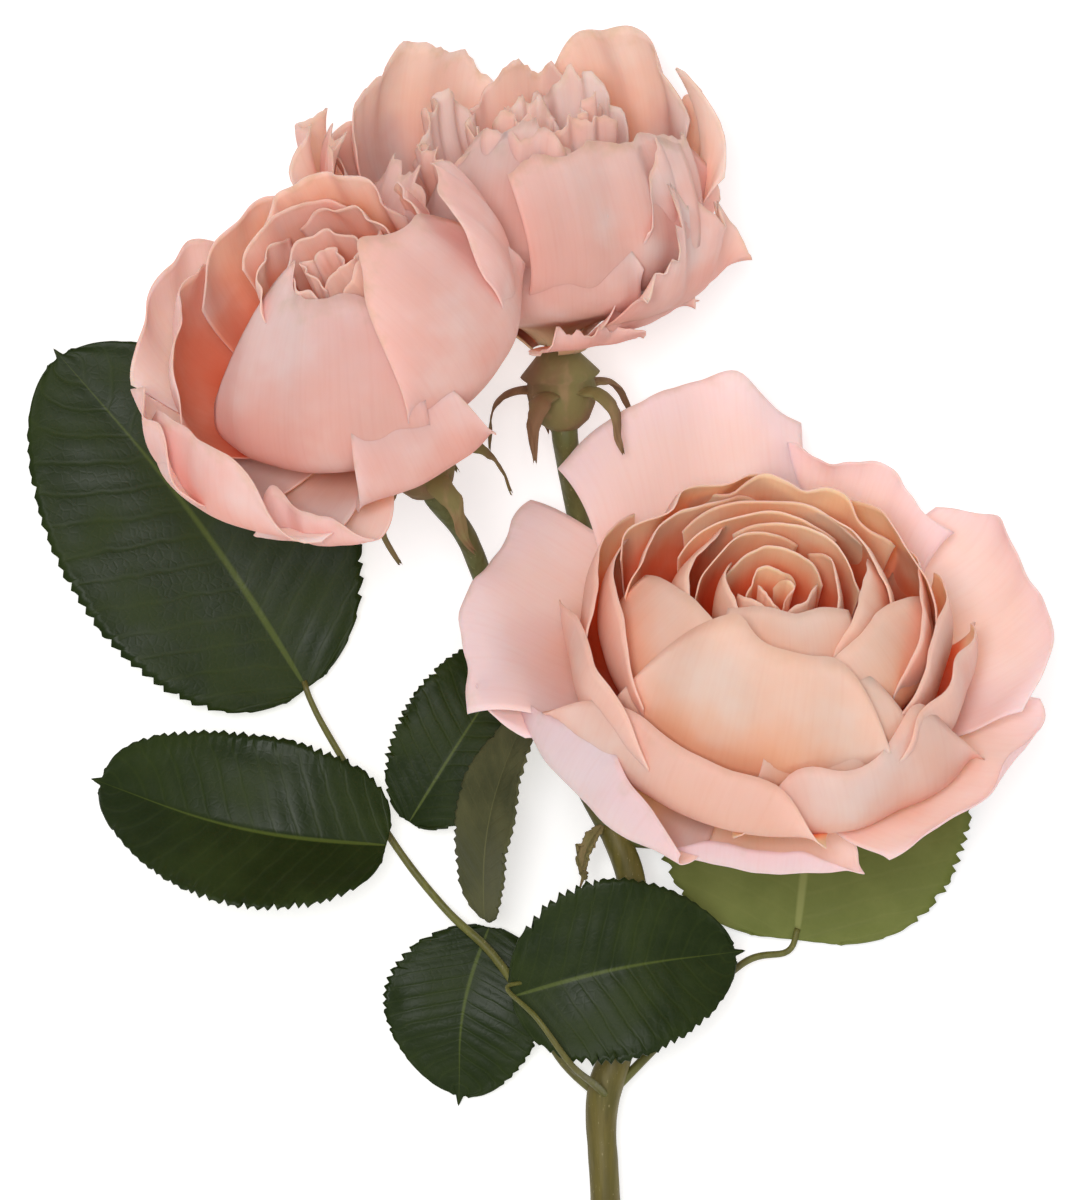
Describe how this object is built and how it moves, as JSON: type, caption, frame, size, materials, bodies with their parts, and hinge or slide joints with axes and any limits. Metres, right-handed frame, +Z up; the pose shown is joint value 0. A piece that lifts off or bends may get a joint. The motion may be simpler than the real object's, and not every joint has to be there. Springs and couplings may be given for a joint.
{
  "type": "cut rose",
  "caption": "Cut spray rose laid on its side: a forked woody stem with open and half-open double blooms of separate petals, sepals and compound leaves.",
  "frame": {"origin": "centre of the bottom of the box around the laid spray, on the surface that it lies on", "axes": "+Z up from the surface; +Y along the spray from the cut end of the stem to the blooms; +X to the right with the blooms facing up"},
  "size_m": [0.1316, 0.2228, 0.0615],
  "materials": {
    "main_inner_petals": "soft matte peach petal, slightly translucent",
    "main_guard_petals": "soft matte pale pink petal, slightly translucent",
    "left_petals": "soft matte pink petal with a salmon inside",
    "top_petals": "ageing pale pink petal with dry creamy edges",
    "calyx": "matte brownish green",
    "petiole": "satin yellowish green",
    "stem": "satin olive brown bark",
    "leaf": "waxy dark green, paler and duller underneath"
  },
  "bodies": {
    "root": {"main_stem": "stem", "stalk_main_bloom": "stem", "stalk_left_bloom": "stem", "stalk_top_bloom": "stem", "main_heart_01": "main_inner_petals", "main_heart_02": "main_inner_petals", "main_heart_03": "main_inner_petals", "main_heart_04": "main_inner_petals", "main_ball_01": "main_inner_petals", "main_ball_02": "main_inner_petals", "main_ball_03": "main_inner_petals", "main_ball_04": "main_inner_petals", "main_cup_01": "main_inner_petals", "main_cup_02": "main_inner_petals", "main_cup_03": "main_inner_petals", "main_cup_04": "main_inner_petals", "main_cup_05": "main_inner_petals", "main_guard_01": "main_guard_petals", "main_guard_02": "main_guard_petals", "main_guard_03": "main_guard_petals", "main_guard_04": "main_guard_petals", "main_guard_05": "main_guard_petals", "main_guard_06": "main_guard_petals", "main_guard_07": "main_guard_petals", "main_calyx": "calyx", "left_heart_01": "left_petals", "left_heart_02": "left_petals", "left_heart_03": "left_petals", "left_guard_01": "left_petals", "left_guard_02": "left_petals", "left_guard_03": "left_petals", "left_guard_04": "left_petals", "left_guard_05": "left_petals", "left_guard_06": "left_petals", "left_guard_07": "left_petals", "left_calyx": "calyx", "top_heart_01": "top_petals", "top_heart_02": "top_petals", "top_heart_03": "top_petals", "top_guard_01": "top_petals", "top_guard_02": "top_petals", "top_guard_03": "top_petals", "top_guard_04": "top_petals", "top_guard_05": "top_petals", "top_guard_06": "top_petals", "top_guard_07": "top_petals", "top_guard_08": "top_petals", "top_calyx": "calyx", "leaf_a_petiole": "petiole", "leaf_a_end": "leaf", "leaf_a_lower": "leaf", "leaf_a_inner": "leaf", "leaf_a_base_left": "leaf", "leaf_a_base_right": "leaf", "leaf_b_petiole": "petiole", "leaf_b_side_petiole": "petiole", "leaf_b_side": "leaf", "leaf_b_end": "leaf", "bract": "calyx"}
  },
  "joints": []
}
